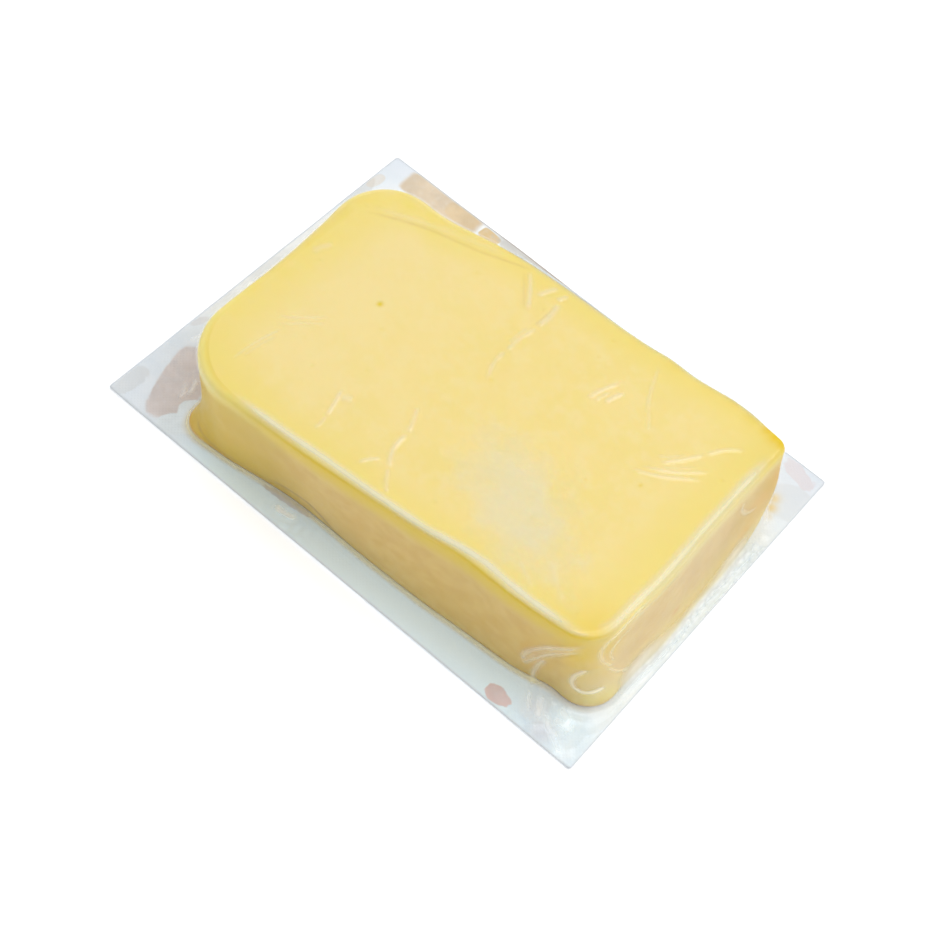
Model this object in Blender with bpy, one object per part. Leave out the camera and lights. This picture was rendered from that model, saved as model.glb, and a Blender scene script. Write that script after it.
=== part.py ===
# A slab of gouda sealed under vacuum between a printed base film and a clear formed film.
# Lengths are in metres and +Z is up. The pack lies on its base film, long side along X,
# with the origin under the middle of the pack.

import bmesh
import bpy
import numpy as np

MM = 0.001

# The pack's outline, counter-clockwise from the front left: the web is cut a little out of square
PACK_CORNERS = ((-86.4, -59.7), (86.4, -58.7), (83.4, 56.3), (-85.2, 59.7))
PACK_CORNER_RADIUS = 0.8

# The slab's outline at its top edge, counter-clockwise from the front left: where each pair of
# sides would meet, and the radius of the corner. The two left corners are the moulded end of
# the wheel, and the other two are cut
SLAB_CORNERS = (
    (-61.6, -56.0, 20.0),
    (79.3, -44.9, 10.5),
    (77.4, 35.6, 3.0),
    (-67.2, 34.4, 20.0),
)
SLAB_HEIGHT = 37.8
CROWN = 0.5

# Long soft swellings of the slab's sides: middle of the swelling, its reach, and how far out
SIDE_SWELLINGS = (
    (-16.0, -52.0, 22.0, 1.2),
    (37.0, -48.5, 7.0, -0.7),
    (58.0, -46.5, 9.0, 0.5),
    (79.0, -16.0, 8.0, 0.8),
    (60.0, 36.0, 8.5, 2.1),
    (38.0, 36.0, 5.0, 0.9),
    (-16.0, 34.0, 13.0, -0.4),
    (-43.0, 33.0, 9.0, -1.3),
    (-60.0, 26.0, 8.0, 1.0),
    (-63.0, -9.0, 13.0, -2.1),
)

# The rounding where the top turns down into the sides: a cut edge is nearly sharp, and the
# moulded end is rounder, most of all at its back corner
CUT_EDGE_RADIUS = 2.0
FRONT_SHOULDER = 1.5
FRONT_SHOULDER_RUN = (-32.0, -56.0)
BACK_SHOULDER = 8.0
BACK_SHOULDER_RUN = (-6.0, -46.0)
SHOULDER_BLEND_RUN = (-15.0, 30.0)

# How the foot of the sides stands out from the top edge: place, reach and how far out.
# The slab has sagged a little, most at its front corners, and is undercut in between
FOOT_SWELLINGS = (
    (-58.0, -50.0, 5.5, 2.0),
    (-20.0, -53.0, 18.0, -3.7),
    (36.0, -48.5, 9.0, 1.1),
    (68.0, -46.0, 5.0, -1.5),
    (79.0, -40.0, 6.0, 0.8),
    (77.0, 36.0, 6.0, -1.0),
)
FOOT_CURVE_POWER = 1.6
CUT_END_FLARE = 2.3
CUT_END_FLARE_RUN = (46.0, 14.0)

# Lips that are squeezed out at the very foot: place, reach and how far out
TOES = ((-58.0, -50.0, 5.5, 5.0),)
TOE_CURVE_POWER = 7.0

# Where a side is drawn in half way up, or bulges if the depth is below 0: place, reach, depth
WAISTS = (
    (-56.0, -50.0, 7.0, 0.2),
    (78.0, 34.0, 5.0, -1.0),
)
FOOT_EDGE_RADIUS = 1.2

# Films
BASE_THICKNESS = 0.4
FILM_THICKNESS = 0.3
CLEARANCE = 0.35

# The hollow curve in which the formed film leaves the slab for the flange
FOOT_CURVE = 2.0
FOOT_TENTS = (
    (72.0, -46.0, 6.0, 1.2),
    (79.0, 33.0, 8.0, 2.2),
    (-60.0, -52.0, 8.0, -0.7),
)

# The loose film at the front right corner stands off the slab in a few upright pleats: place,
# reach, how far off and how high they run. Below a share of that height they keep their full size
PLEATS = (
    (66.0, -46.0, 2.6, 1.6, 12.0),
    (74.0, -43.0, 2.4, 1.8, 15.0),
    (80.5, -33.0, 3.0, 0.5, 20.0),
)
PLEAT_FULL_SHARE = 0.3

# Mesh divisions
LONG_SPANS = 30
SHORT_SPANS = 18
EDGE_STEPS = 5
WALL_STEPS = 7
CURVE_STEPS = 4
FLANGE_STEPS = 3
OUTLINE_SAMPLES = 600
SHARP_ANGLE = 40.0

CHEESE_COLOUR = (0.90, 0.72, 0.30)
BASE_COLOUR = (0.74, 0.78, 0.80)
FILM_COLOUR = (0.95, 0.96, 0.97)
FILM_ALPHA = 0.25


def clear_scene():
    for old_object in list(bpy.data.objects):
        bpy.data.objects.remove(old_object, do_unlink=True)


def smooth_step(value, start, end):
    """Rises smoothly from 0 at start to 1 at end, in either direction."""
    share = np.clip((value - start) / (end - start), 0.0, 1.0)
    return share * share * (3.0 - 2.0 * share)


def swelling(points, x, y, reach):
    """A soft round hump of height 1 about (x, y)."""
    squared = (points[..., 0] - x) ** 2 + (points[..., 1] - y) ** 2
    return np.exp(-squared / (2.0 * reach ** 2))


class Outline:
    """A four-sided outline with rounded corners, read as (side, share along the side).

    Each side runs from the middle of one corner's arc to the middle of the next.
    """

    def __init__(self, corners):
        self.sides = [self.sample_side(corners, index) for index in range(4)]

    @staticmethod
    def corner(corners, index):
        """Arc centre, radius, half angle of turn and the two directions at a corner."""
        before, here, after = (np.array(corners[(index + step) % 4][:2]) for step in (-1, 0, 1))
        arriving = (here - before) / np.linalg.norm(here - before)
        leaving = (after - here) / np.linalg.norm(after - here)
        radius = corners[index % 4][2]
        turn = np.arccos(np.clip(arriving @ leaving, -1.0, 1.0))
        inward = np.array((-arriving[1], arriving[0]))
        centre = here - arriving * radius * np.tan(turn / 2.0) + inward * radius
        return centre, radius, turn / 2.0, arriving, leaving

    @classmethod
    def sample_side(cls, corners, index):
        """Points and outward normals, evenly spaced along one side."""
        centre_a, radius_a, half_a, _, along = cls.corner(corners, index)
        centre_b, radius_b, half_b, _, _ = cls.corner(corners, index + 1)
        outward = np.array((along[1], -along[0]))
        start = centre_a + outward * radius_a
        end = centre_b + outward * radius_b
        lengths = (radius_a * half_a, np.linalg.norm(end - start), radius_b * half_b)
        travel = np.linspace(0.0, sum(lengths), OUTLINE_SAMPLES)
        turn = np.where(travel < lengths[0], travel / radius_a - half_a, 0.0)
        past = travel - lengths[0] - lengths[1]
        turn = np.where(past > 0.0, past / radius_b, turn)
        cos, sin = np.cos(turn)[:, None], np.sin(turn)[:, None]
        normals = outward * cos + along * sin
        straight = np.clip(travel - lengths[0], 0.0, lengths[1])[:, None]
        points = start + along * straight
        first = (travel < lengths[0])[:, None]
        last = (past > 0.0)[:, None]
        points = np.where(first, centre_a + normals * radius_a, points)
        points = np.where(last, centre_b + normals * radius_b, points)
        return points, normals

    def at(self, side, share):
        """Points and outward normals at a share of the way along a side, as arrays."""
        points = np.zeros((len(side), 2))
        normals = np.zeros((len(side), 2))
        steps = np.linspace(0.0, 1.0, OUTLINE_SAMPLES)
        for index, (side_points, side_normals) in enumerate(self.sides):
            here = side == index
            for axis in (0, 1):
                points[here, axis] = np.interp(share[here], steps, side_points[:, axis])
                normals[here, axis] = np.interp(share[here], steps, side_normals[:, axis])
        return points, normals


class Grid:
    """A square grid of squares inside squares, with loops of the same count round it."""

    def __init__(self, long_spans, short_spans):
        column, row = np.meshgrid(np.arange(long_spans + 1), np.arange(short_spans + 1))
        across = (2.0 * column / long_spans - 1.0).ravel()
        along = (2.0 * row / short_spans - 1.0).ravel()
        self.reach = np.maximum(np.abs(across), np.abs(along))
        size = np.where(self.reach == 0.0, 1.0, self.reach)
        across, along = across / size, along / size
        self.side = np.select([along <= -1.0, across >= 1.0, along >= 1.0], [0, 1, 2], 3)
        shares = [(across + 1.0) / 2.0, (along + 1.0) / 2.0, (1.0 - across) / 2.0]
        self.share = np.select([self.side == 0, self.side == 1, self.side == 2],
                               shares, (1.0 - along) / 2.0)
        self.columns, self.rows = long_spans, short_spans

    def node(self, column, row):
        return row * (self.columns + 1) + column

    def rim(self):
        """The grid's border nodes, counter-clockwise from the front left corner."""
        front = [self.node(column, 0) for column in range(self.columns)]
        right = [self.node(self.columns, row) for row in range(self.rows)]
        back = [self.node(column, self.rows) for column in range(self.columns, 0, -1)]
        left = [self.node(0, row) for row in range(self.rows, 0, -1)]
        return front + right + back + left

    def faces(self):
        return [
            (self.node(c, r), self.node(c + 1, r), self.node(c + 1, r + 1), self.node(c, r + 1))
            for r in range(self.rows) for c in range(self.columns)
        ]


def slab_rim(side, share):
    """The slab's outline at its top edge, its outward normals, and what varies along it."""
    points, normals = Outline(SLAB_CORNERS).at(side, share)
    out = sum(swelling(points, x, y, reach) * size for x, y, reach, size in SIDE_SWELLINGS)
    points = points + normals * out[:, None]
    x, y = points[:, 0], points[:, 1]
    front = FRONT_SHOULDER * smooth_step(x, *FRONT_SHOULDER_RUN)
    back = BACK_SHOULDER * smooth_step(x, *BACK_SHOULDER_RUN)
    radius = CUT_EDGE_RADIUS + front
    radius += (back - front) * smooth_step(y, *SHOULDER_BLEND_RUN)
    foot = sum(swelling(points, x, y, reach) * size for x, y, reach, size in FOOT_SWELLINGS)
    foot += (CUT_END_FLARE * np.clip(normals[:, 0], 0.0, 1.0) ** 2
             * smooth_step(y, *CUT_END_FLARE_RUN))
    waist = sum(swelling(points, x, y, reach) * size for x, y, reach, size in WAISTS)
    toe = sum(swelling(points, x, y, reach) * size for x, y, reach, size in TOES)
    return points, normals, radius, (foot, waist, toe)


def wall_offset(height_share, wall):
    """How far a side stands out from the top edge, at a share of the slab's height."""
    foot, waist, toe = wall
    flare = foot * (1.0 - height_share) ** FOOT_CURVE_POWER
    flare += toe * (1.0 - height_share) ** TOE_CURVE_POWER
    return flare - waist * np.sin(np.pi * height_share) ** 2


def foot_curve(points):
    """How high above the slab's foot the formed film starts to leave it, along the outline."""
    return FOOT_CURVE + sum(
        swelling(points, x, y, reach) * size for x, y, reach, size in FOOT_TENTS)


def side_loop(rim, lift, spread, height):
    """A loop round the sides at a height, moved out from the slab by spread."""
    points, normals, radius, wall = rim
    start = lift + SLAB_HEIGHT - radius
    share = np.clip((height - lift) / (start - lift), 0.0, 1.0)
    out = wall_offset(share, wall) + spread
    return np.column_stack((points + normals * out[:, None], height))


def slab_sheet(grid, lift, spread):
    """Loops over the top, the rounded edge and the sides, moved out from the slab by spread.

    Returns the grid's nodes, the loops below them down to where the film leaves the slab, and
    the slab's rim. The slab and its film have their loops at the same heights.
    """
    points, normals, radius, wall = slab_rim(grid.side, grid.share)
    top = lift + SLAB_HEIGHT + spread
    inner = points - normals * radius[:, None]
    centre = np.mean([corner[:2] for corner in SLAB_CORNERS], axis=0)
    flat = centre + (inner - centre) * grid.reach[:, None]
    nodes = np.column_stack((flat, top + CROWN * (1.0 - grid.reach ** 2)))

    rim = grid.rim()
    points, normals, radius = points[rim], normals[rim], radius[rim]
    wall = [part[rim] for part in wall]
    loops = []
    for angle in np.linspace(np.pi / 2.0, 0.0, EDGE_STEPS + 1)[1:]:
        out = (radius + spread) * np.cos(angle) - radius
        height = lift + SLAB_HEIGHT - radius + (radius + spread) * np.sin(angle)
        loops.append(np.column_stack((points + normals * out[:, None], height)))
    start = lift + SLAB_HEIGHT - radius
    lowest = lift + foot_curve(points)
    slab = (points, normals, radius, wall)
    for step in range(1, WALL_STEPS + 1):
        height = start + (lowest - start) * step / WALL_STEPS
        loops.append(side_loop(slab, lift, spread, height))
    return nodes, loops, slab


def join_loops(bm, first, second):
    count = len(first)
    for index in range(count):
        after = (index + 1) % count
        bm.faces.new((first[index], second[index], second[after], first[after]))


def build_sheet(bm, grid, nodes, loops):
    """The grid's squares and a band of squares between each loop and the next."""
    verts = [bm.verts.new(point * MM) for point in nodes]
    for face in grid.faces():
        bm.faces.new([verts[index] for index in face])
    previous = [verts[index] for index in grid.rim()]
    for loop in loops:
        ring = [bm.verts.new(point * MM) for point in loop]
        join_loops(bm, previous, ring)
        previous = ring
    return previous


def make_material(name, colour, roughness, alpha=1.0):
    material = bpy.data.materials.new(name)
    material.use_nodes = True
    shader = material.node_tree.nodes["Principled BSDF"]
    shader.inputs["Base Color"].default_value = (*colour, 1.0)
    shader.inputs["Roughness"].default_value = roughness
    shader.inputs["Metallic"].default_value = 0.0
    shader.inputs["Alpha"].default_value = alpha
    return material


def add_object(name, bm, material):
    mesh = bpy.data.meshes.new(name)
    bm.normal_update()
    bm.to_mesh(mesh)
    bm.free()
    mesh.shade_smooth()
    mesh.set_sharp_from_angle(angle=np.radians(SHARP_ANGLE))
    mesh.materials.append(material)
    piece = bpy.data.objects.new(name, mesh)
    bpy.context.scene.collection.objects.link(piece)
    return piece


def thicken(piece, thickness):
    """Gives a sheet its thickness, on the side its normals point to."""
    solidify = piece.modifiers.new("Thickness", "SOLIDIFY")
    solidify.thickness = thickness * MM
    solidify.offset = 1.0
    solidify.use_even_offset = True


def make_base_web():
    """The printed film under the slab, cut to the pack's outline."""
    grid = Grid(LONG_SPANS, SHORT_SPANS)
    rim = grid.rim()
    corners = [(*corner, PACK_CORNER_RADIUS) for corner in PACK_CORNERS]
    points, _ = Outline(corners).at(grid.side[rim], grid.share[rim])
    bm = bmesh.new()
    bm.faces.new([bm.verts.new((x * MM, y * MM, 0.0)) for x, y in points])
    piece = add_object("base_web", bm, make_material("printed_film", BASE_COLOUR, 0.4))
    thicken(piece, BASE_THICKNESS)


def make_cheese():
    """The slab itself, from its crowned top to its flat underside."""
    grid = Grid(LONG_SPANS, SHORT_SPANS)
    lift = BASE_THICKNESS + CLEARANCE
    nodes, loops, slab = slab_sheet(grid, lift, 0.0)
    foot = side_loop(slab, lift, 0.0, np.full(len(loops[-1]), lift + FOOT_EDGE_RADIUS))
    underside = foot.copy()
    underside[:, :2] -= slab[1] * FOOT_EDGE_RADIUS
    underside[:, 2] = lift
    bm = bmesh.new()
    last = build_sheet(bm, grid, nodes, loops + [foot, underside])
    bm.faces.new(list(reversed(last)))
    add_object("cheese", bm, make_material("gouda", CHEESE_COLOUR, 0.45))


def pleat_offset(points, height):
    """How far the pleats stand off the slab, for points on the sides at a height."""
    out = np.zeros(len(points))
    for x, y, reach, size, top in PLEATS:
        fade = smooth_step(height, top, top * PLEAT_FULL_SHARE)
        out += size * swelling(points, x, y, reach) * fade
    return out


def make_clear_film():
    """The formed film: tight over the slab, curving out at its foot into a flat flange."""
    grid = Grid(LONG_SPANS, SHORT_SPANS)
    lift = BASE_THICKNESS + CLEARANCE
    rim = grid.rim()
    side, share = grid.side[rim], grid.share[rim]
    nodes, loops, slab = slab_sheet(grid, lift, CLEARANCE)
    normals, curve = slab[1], foot_curve(slab[0])
    for loop in loops:
        loop[:, :2] += normals * pleat_offset(loop, loop[:, 2] - lift)[:, None]
    leaving = loops[-1].copy()
    for angle in np.linspace(0.0, np.pi / 2.0, CURVE_STEPS + 1)[1:]:
        loop = leaving.copy()
        loop[:, :2] += normals * (curve * (1.0 - np.cos(angle)))[:, None]
        loop[:, 2] = lift + curve * (1.0 - np.sin(angle))
        loops.append(loop)
    corners = [(*corner, PACK_CORNER_RADIUS) for corner in PACK_CORNERS]
    edge, _ = Outline(corners).at(side, share)
    flange_start = loops[-1].copy()
    for step in range(1, FLANGE_STEPS + 1):
        loop = flange_start.copy()
        loop[:, :2] += (edge - flange_start[:, :2]) * step / FLANGE_STEPS
        loops.append(loop)
    bm = bmesh.new()
    build_sheet(bm, grid, nodes, loops)
    piece = add_object("clear_film", bm, make_material("clear_film", FILM_COLOUR, 0.12, FILM_ALPHA))
    thicken(piece, FILM_THICKNESS)


clear_scene()
make_base_web()
make_cheese()
make_clear_film()
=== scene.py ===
import math

import bpy
import numpy as np
from mathutils import Matrix, Vector, kdtree, noise


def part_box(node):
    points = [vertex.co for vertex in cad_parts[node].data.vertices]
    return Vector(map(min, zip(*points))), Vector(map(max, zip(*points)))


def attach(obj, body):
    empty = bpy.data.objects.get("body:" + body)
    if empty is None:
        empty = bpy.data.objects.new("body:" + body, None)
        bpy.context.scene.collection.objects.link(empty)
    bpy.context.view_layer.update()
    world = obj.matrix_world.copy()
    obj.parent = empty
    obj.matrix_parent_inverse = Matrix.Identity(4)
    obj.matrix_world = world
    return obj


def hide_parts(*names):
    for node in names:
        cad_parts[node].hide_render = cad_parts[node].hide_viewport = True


# The looks of a slab of gouda under a formed clear film, on a printed base film.
# Lengths in the tables below are millimetres in the frame of the solids, with +Z up.

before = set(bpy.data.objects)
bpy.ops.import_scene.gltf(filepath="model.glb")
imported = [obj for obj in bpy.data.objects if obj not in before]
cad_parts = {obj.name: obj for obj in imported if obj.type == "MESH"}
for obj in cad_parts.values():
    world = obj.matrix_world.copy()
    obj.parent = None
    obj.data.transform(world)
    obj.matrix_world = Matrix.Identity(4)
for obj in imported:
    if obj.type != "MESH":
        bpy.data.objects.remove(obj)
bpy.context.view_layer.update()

MM = 0.001
SEED = 7

# Heights read from the frame
WEB_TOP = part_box("base_web")[1].z / MM
SLAB_LOW, SLAB_TOP = (corner.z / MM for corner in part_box("cheese"))
CROWN = 0.5
SLAB_HEIGHT = SLAB_TOP - SLAB_LOW - CROWN

# The pack's outline, counter-clockwise from the front left
PACK_CORNERS = ((-86.4, -59.7), (86.4, -58.7), (83.4, 56.3), (-85.2, 59.7))
PACK_CORNER_RADIUS = 0.8
PACK_OUTLINE = [(*corner, PACK_CORNER_RADIUS) for corner in PACK_CORNERS]

# The slab's outline at its top edge: where each pair of sides would meet, and the corner's radius
SLAB_CORNERS = ((-61.6, -56, 20), (79.3, -44.9, 10.5), (77.4, 35.6, 3), (-67.2, 34.4, 20))

# Long soft swellings of the slab's sides: middle, reach, and how far out
SIDE_SWELLINGS = (
    (-16, -52, 22, 1.2), (37, -48.5, 7, -0.7), (58, -46.5, 9, 0.5), (79, -16, 8, 0.8),
    (60, 36, 8.5, 2.1), (38, 36, 5, 0.9), (-16, 34, 13, -0.4), (-43, 33, 9, -1.3), (-60, 26, 8, 1),
    (-63, -9, 13, -2.1),
)

# The rounding where the top turns down into the sides
CUT_EDGE_RADIUS = 2
FRONT_SHOULDER = 1.5
FRONT_SHOULDER_RUN = (-32, -56)
BACK_SHOULDER = 8
BACK_SHOULDER_RUN = (-6, -46)
SHOULDER_BLEND_RUN = (-15, 30)

# How the foot of the sides stands out from the top edge: place, reach and how far out
FOOT_SWELLINGS = (
    (-58, -50, 5.5, 2), (-20, -53, 18, -3.7), (36, -48.5, 9, 1.1), (68, -46, 5, -1.5),
    (79, -40, 6, 0.8), (77, 36, 6, -1),
)
FOOT_CURVE_POWER = 1.6
CUT_END_FLARE = 2.3
CUT_END_FLARE_RUN = (46, 14)
TOES = ((-58, -50, 5.5, 5),)
TOE_CURVE_POWER = 7
WAISTS = ((-56, -50, 7, 0.2), (78, 34, 5, -1))
FOOT_EDGE_RADIUS = 1.2
SLAB_CENTRE = np.mean([corner[:2] for corner in SLAB_CORNERS], axis=0)

# The film over the slab, and the hollow curve in which it leaves the slab for the flange
FILM_GAP = 0.4
FOOT_CURVE = 2
FOOT_TENTS = ((72, -46, 6, 1.2), (79, 33, 8, 2.2), (-60, -52, 8, -0.7))

# The flange: clear film lying on the base film, and the share of its width in which it settles
WEB_THICKNESS = 0.3
WEB_LIFT = 0.05
FLANGE_GAP = 0.15
FLANGE_SETTLE = 0.25
FLANGE_WAVE = 0.55
FLANGE_WAVE_SIZE = 26

# Mesh divisions, each about half a millimetre
SLAB_SPANS = (280, 172)
FILM_SPANS = (300, 184)
WEB_SPANS = (230, 150)
EDGE_STEPS = 10
FOOT_EDGE_STEPS = 3
WALL_STEPS = 66
CURVE_STEPS = 8
FLANGE_STEPS = 34
OUTLINE_SAMPLES = 900

# The camera, as the photograph was taken
VIEW_AZIMUTH = 38.608
VIEW_ELEVATION = 58.779
VIEW_ROLL = 4
VIEW_TARGET = (7.706, -9.635, 1)
VIEW_DISTANCE = 533.19
SENSOR = 36
LENS = 72.77


# Shapes


def rise(value, start, end):
    """Rises smoothly from 0 at start to 1 at end, in either direction."""
    share = np.clip((value - start) / (end - start), 0, 1)
    return share * share * (3 - 2 * share)


def swelling(points, x, y, reach):
    """A soft round hump of height 1 about (x, y)."""
    squared = (points[..., 0] - x) ** 2 + (points[..., 1] - y) ** 2
    return np.exp(-squared / (2 * reach ** 2))


def swellings(points, table):
    """The sum of soft humps, each given as its middle, reach and height."""
    return sum(swelling(points, x, y, reach) * size for x, y, reach, size in table)


def strongest_swelling(points, table):
    """The highest of several soft humps at each point."""
    return np.max([swelling(points, x, y, reach) * size for x, y, reach, size in table], axis=0)


def strongest_spot(points, table):
    """The strongest of several spots in space, each given as its place, reach and strength."""
    return np.max([amount * np.exp(-(np.linalg.norm(points - place, axis=1) / reach) ** 2)
                   for *place, reach, amount in table], axis=0)


def wander(points, size, seed, octaves=3):
    """Smooth noise from about -1 to 1, with features of a size in millimetres."""
    shift = Vector((SEED + seed, 2.3 * seed, 5.1 * seed))
    scaled = points / size
    return np.array([noise.fractal(Vector(p) + shift, 1, 2, octaves) for p in scaled])


def crumple(points, size, seed):
    """Sharp folds between flat facets, from 0 in a facet's middle to 1 at its edges."""
    shift = Vector((SEED + seed, 3.7 * seed, 1.9 * seed))
    edges = np.zeros(len(points))
    for index, p in enumerate(points / size):
        distances, _ = noise.voronoi(Vector(p) + shift)
        edges[index] = 1 - min(1, CRUMPLE_SHARPNESS * (distances[1] - distances[0]))
    return edges


def corner_arc(corners, index):
    """Arc centre, radius, half angle of turn and the direction out of a corner."""
    before, here, after = (np.array(corners[(index + step) % 4][:2]) for step in (-1, 0, 1))
    arriving = (here - before) / np.linalg.norm(here - before)
    leaving = (after - here) / np.linalg.norm(after - here)
    radius = corners[index % 4][2]
    turn = np.arccos(np.clip(arriving @ leaving, -1, 1))
    inward = np.array((-arriving[1], arriving[0]))
    centre = here - arriving * radius * np.tan(turn / 2) + inward * radius
    return centre, radius, turn / 2, leaving


def outline_side(corners, index):
    """Points and outward normals, evenly spaced along one side, as rows of four numbers."""
    centre_a, radius_a, half_a, along = corner_arc(corners, index)
    centre_b, radius_b, half_b, _ = corner_arc(corners, index + 1)
    outward = np.array((along[1], -along[0]))
    start = centre_a + outward * radius_a
    end = centre_b + outward * radius_b
    lengths = (radius_a * half_a, np.linalg.norm(end - start), radius_b * half_b)
    travel = np.linspace(0, sum(lengths), OUTLINE_SAMPLES)[:, None]
    past = travel - lengths[0] - lengths[1]
    turn = np.where(travel < lengths[0], travel / radius_a - half_a, 0)
    turn = np.where(past > 0, past / radius_b, turn)
    normals = outward * np.cos(turn) + along * np.sin(turn)
    points = start + along * np.clip(travel - lengths[0], 0, lengths[1])
    points = np.where(travel < lengths[0], centre_a + normals * radius_a, points)
    points = np.where(past > 0, centre_b + normals * radius_b, points)
    return np.hstack((points, normals))


def outline(corners, side, share):
    """Points and outward normals at a share of the way along a side of a rounded outline.

    Each side runs from the middle of one corner's arc to the middle of the next.
    """
    found = np.zeros((len(side), 4))
    steps = np.linspace(0, 1, OUTLINE_SAMPLES)
    for index in range(4):
        here = side == index
        for axis, samples in enumerate(outline_side(corners, index).T):
            found[here, axis] = np.interp(share[here], steps, samples)
    return found[:, :2], found[:, 2:]


class Grid:
    """A square grid of squares inside squares, with loops of the same count round it."""

    def __init__(self, columns, rows):
        column, row = np.meshgrid(np.arange(columns + 1), np.arange(rows + 1))
        across = (2 * column / columns - 1).ravel()
        along = (2 * row / rows - 1).ravel()
        self.reach = np.maximum(np.abs(across), np.abs(along))
        size = np.where(self.reach == 0, 1, self.reach)
        across, along = across / size, along / size
        self.side = np.select([along <= -1, across >= 1, along >= 1], [0, 1, 2], 3)
        shares = [(across + 1) / 2, (along + 1) / 2, (1 - across) / 2]
        self.share = np.select([self.side == 0, self.side == 1, self.side == 2],
                               shares, (1 - along) / 2)
        self.columns, self.rows = columns, rows

    def rim(self):
        """The grid's border nodes, counter-clockwise from the front left corner."""
        columns, rows, width = self.columns, self.rows, self.columns + 1
        front = np.arange(columns)
        right = columns + width * np.arange(rows)
        back = rows * width + np.arange(columns, 0, -1)
        left = width * np.arange(rows, 0, -1)
        return np.concatenate((front, right, back, left))

    def faces(self):
        row, column = np.meshgrid(np.arange(self.rows), np.arange(self.columns), indexing="ij")
        first = (row * (self.columns + 1) + column).ravel()
        width = self.columns + 1
        return np.column_stack((first, first + 1, first + 1 + width, first + width))


def slab_rim(side, share):
    """The slab's outline at its top edge, its outward normals, and what varies along it."""
    points, normals = outline(SLAB_CORNERS, side, share)
    points = points + normals * swellings(points, SIDE_SWELLINGS)[:, None]
    x, y = points.T
    front = FRONT_SHOULDER * rise(x, *FRONT_SHOULDER_RUN)
    back = BACK_SHOULDER * rise(x, *BACK_SHOULDER_RUN)
    radius = CUT_EDGE_RADIUS + front
    radius += (back - front) * rise(y, *SHOULDER_BLEND_RUN)
    foot = swellings(points, FOOT_SWELLINGS)
    end = np.clip(normals[:, 0], 0, 1) ** 2
    foot += CUT_END_FLARE * end * rise(y, *CUT_END_FLARE_RUN)
    return points, normals, radius, (foot, swellings(points, WAISTS), swellings(points, TOES))


def wall_offset(height_share, wall):
    """How far a side stands out from the top edge, at a share of the slab's height."""
    foot, waist, toe = wall
    flare = foot * (1 - height_share) ** FOOT_CURVE_POWER
    flare += toe * (1 - height_share) ** TOE_CURVE_POWER
    return flare - waist * np.sin(np.pi * height_share) ** 2


def slab_sheet(grid, spread, lowest):
    """The grid's nodes over the top, then loops over the rounded edge and down the sides.

    The sheet is moved out from the slab by spread, and its last loop is at the height lowest.
    """
    points, normals, radius, wall = slab_rim(grid.side, grid.share)
    inner = points - normals * radius[:, None]
    flat = SLAB_CENTRE + (inner - SLAB_CENTRE) * grid.reach[:, None]
    top = SLAB_LOW + SLAB_HEIGHT + spread
    nodes = np.column_stack((flat, top + CROWN * (1 - grid.reach ** 2)))

    rim = grid.rim()
    points, normals, radius = points[rim], normals[rim], radius[rim]
    wall = [part[rim] for part in wall]
    start = SLAB_LOW + SLAB_HEIGHT - radius
    loops = []
    for angle in np.linspace(np.pi / 2, 0, EDGE_STEPS + 1)[1:]:
        out = (radius + spread) * np.cos(angle) - radius
        height = start + (radius + spread) * np.sin(angle)
        loops.append(np.column_stack((points + normals * out[:, None], height)))
    for step in range(1, WALL_STEPS + 1):
        height = start + (lowest - start) * step / WALL_STEPS
        share = np.clip((height - SLAB_LOW) / (start - SLAB_LOW), 0, 1)
        out = wall_offset(share, wall) + spread
        loops.append(np.column_stack((points + normals * out[:, None], height)))
    return nodes, loops, normals


def sheet_faces(grid, loop_count, closed=False):
    """The grid's squares, a band of squares between each loop and the next, and an underside.

    The underside of a closed sheet is the grid's squares turned over, sewn to the last loop.
    """
    rim = grid.rim()
    count = len(rim)
    first = len(grid.reach)
    rings = [rim] + [first + count * step + np.arange(count) for step in range(loop_count)]
    under = []
    if closed:
        first_under = first + count * loop_count
        rings.append(rim + first_under)
        under = [grid.faces()[:, ::-1] + first_under]
    bands = [np.column_stack((above, below, np.roll(below, -1), np.roll(above, -1)))
             for above, below in zip(rings, rings[1:])]
    return np.vstack([grid.faces()] + bands + under)


def point_normals(points, faces):
    """The mean outward direction at each point of a sheet of squares."""
    a, b, c, d = (points[faces[:, corner]] for corner in range(4))
    directions = np.cross(c - a, d - b)
    normals = np.zeros_like(points)
    for corner in range(4):
        np.add.at(normals, faces[:, corner], directions)
    return normals / np.linalg.norm(normals, axis=1, keepdims=True)


def make_piece(name, points, faces, material, attributes):
    mesh = bpy.data.meshes.new(name)
    mesh.from_pydata((points * MM).tolist(), [], faces.tolist())
    mesh.shade_smooth()
    mesh.materials.append(material)
    for label, values in attributes.items():
        layer = mesh.attributes.new(label, "FLOAT", "POINT")
        layer.data.foreach_set("value", np.asarray(values, np.float32))
    piece = bpy.data.objects.new(name, mesh)
    bpy.context.scene.collection.objects.link(piece)
    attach(piece, "root")
    return piece


# Wrinkles


def curve_through(places, count=9):
    """Points along the smooth curve that passes through the given points."""
    knots = [np.array(place, float) for place in places]
    knots = [2 * knots[0] - knots[1]] + knots + [2 * knots[-1] - knots[-2]]
    t = np.linspace(0, 1, count)[:-1, None]
    pieces = []
    for a, b, c, d in zip(knots, knots[1:], knots[2:], knots[3:]):
        pieces.append(b + 0.5 * t * (c - a + t * (2 * a - 5 * b + 4 * c - d
                                                  + t * (3 * (b - c) + d - a))))
    return np.vstack(pieces + [knots[-2]])


def level_curve(places, height):
    """The same, through points on the level at one height."""
    return curve_through([(x, y, height) for x, y in places])


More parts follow.
